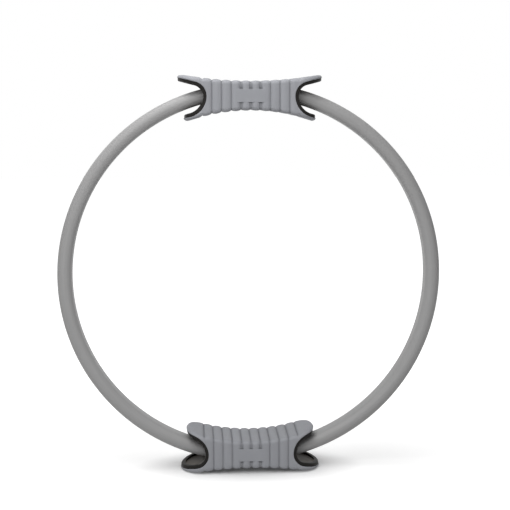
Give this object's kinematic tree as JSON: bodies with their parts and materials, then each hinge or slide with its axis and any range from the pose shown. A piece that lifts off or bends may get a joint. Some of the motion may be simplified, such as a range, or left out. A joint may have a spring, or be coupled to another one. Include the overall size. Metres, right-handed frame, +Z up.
{
  "type": "pilates ring",
  "caption": "Spring hoop in a soft grey sleeve with ribbed double-padded handles at top and bottom, pressed together by hands or legs for resistance exercise.",
  "frame": {"origin": "on the floor, below the centre of the hoop, midway between the two feet of the lower handle", "axes": "+Z up through both handles, +X across the hoop to the right, +Y through the hoop to the rear"},
  "size_m": [0.3802, 0.05, 0.395],
  "materials": {
    "grip_skin": "soft matte moulded grip",
    "shell_plastic": "near-black satin moulded plastic",
    "sleeve_foam": "smooth matte foam sleeve",
    "spring_steel": "rolled spring strip",
    "clamp_plastic": "black moulded plastic",
    "screw_steel": "zinc-plated screws"
  },
  "bodies": {
    "lower_handle": {"lower_front_shell": "shell_plastic", "lower_rear_shell": "shell_plastic", "lower_front_grip": "grip_skin", "lower_rear_grip": "grip_skin", "lower_clamp_base": "clamp_plastic", "lower_clamp_cap": "clamp_plastic", "lower_clamp_screws": "screw_steel", "lower_shell_screws": "screw_steel"},
    "upper_handle": {"upper_front_shell": "shell_plastic", "upper_rear_shell": "shell_plastic", "upper_front_grip": "grip_skin", "upper_rear_grip": "grip_skin", "upper_clamp_base": "clamp_plastic", "upper_clamp_cap": "clamp_plastic", "upper_clamp_screws": "screw_steel", "upper_shell_screws": "screw_steel"},
    "left_outer_spring": {"left_outer_band": "spring_steel", "left_sleeve": "sleeve_foam"},
    "left_inner_spring": {"left_inner_band": "spring_steel"},
    "right_outer_spring": {"right_outer_band": "spring_steel", "right_sleeve": "sleeve_foam"},
    "right_inner_spring": {"right_inner_band": "spring_steel"}
  },
  "joints": [
    {"name": "squeeze", "type": "slide", "parent": "lower_handle", "child": "upper_handle", "axis": [0, 0, 1], "range_m": [-0.07, 0.02], "stiffness_N_per_m": 1500, "deforming": ["left_outer_band", "left_inner_band", "left_sleeve", "right_outer_band", "right_inner_band", "right_sleeve"]},
    {"name": "left_outer_bow", "type": "slide", "parent": "lower_handle", "child": "left_outer_spring", "axis": [0.677, 0, 0.736], "range_m": [-0.048, 0.014], "deforming": ["left_outer_band", "left_inner_band", "left_sleeve"]},
    {"name": "left_inner_bow", "type": "slide", "parent": "upper_handle", "child": "left_inner_spring", "axis": [0.677, 0, -0.736], "range_m": [-0.048, 0.014], "deforming": ["left_outer_band", "left_inner_band", "left_sleeve"]},
    {"name": "right_outer_bow", "type": "slide", "parent": "lower_handle", "child": "right_outer_spring", "axis": [-0.677, 0, 0.736], "range_m": [-0.048, 0.014], "deforming": ["right_outer_band", "right_inner_band", "right_sleeve"]},
    {"name": "right_inner_bow", "type": "slide", "parent": "upper_handle", "child": "right_inner_spring", "axis": [-0.677, 0, -0.736], "range_m": [-0.048, 0.014], "deforming": ["right_outer_band", "right_inner_band", "right_sleeve"]}
  ],
  "couplings": [
    {"joint": "left_outer_bow", "follows": "squeeze", "ratio": 0.679},
    {"joint": "left_inner_bow", "follows": "squeeze", "ratio": 0.679},
    {"joint": "right_outer_bow", "follows": "squeeze", "ratio": 0.679},
    {"joint": "right_inner_bow", "follows": "squeeze", "ratio": 0.679}
  ]
}
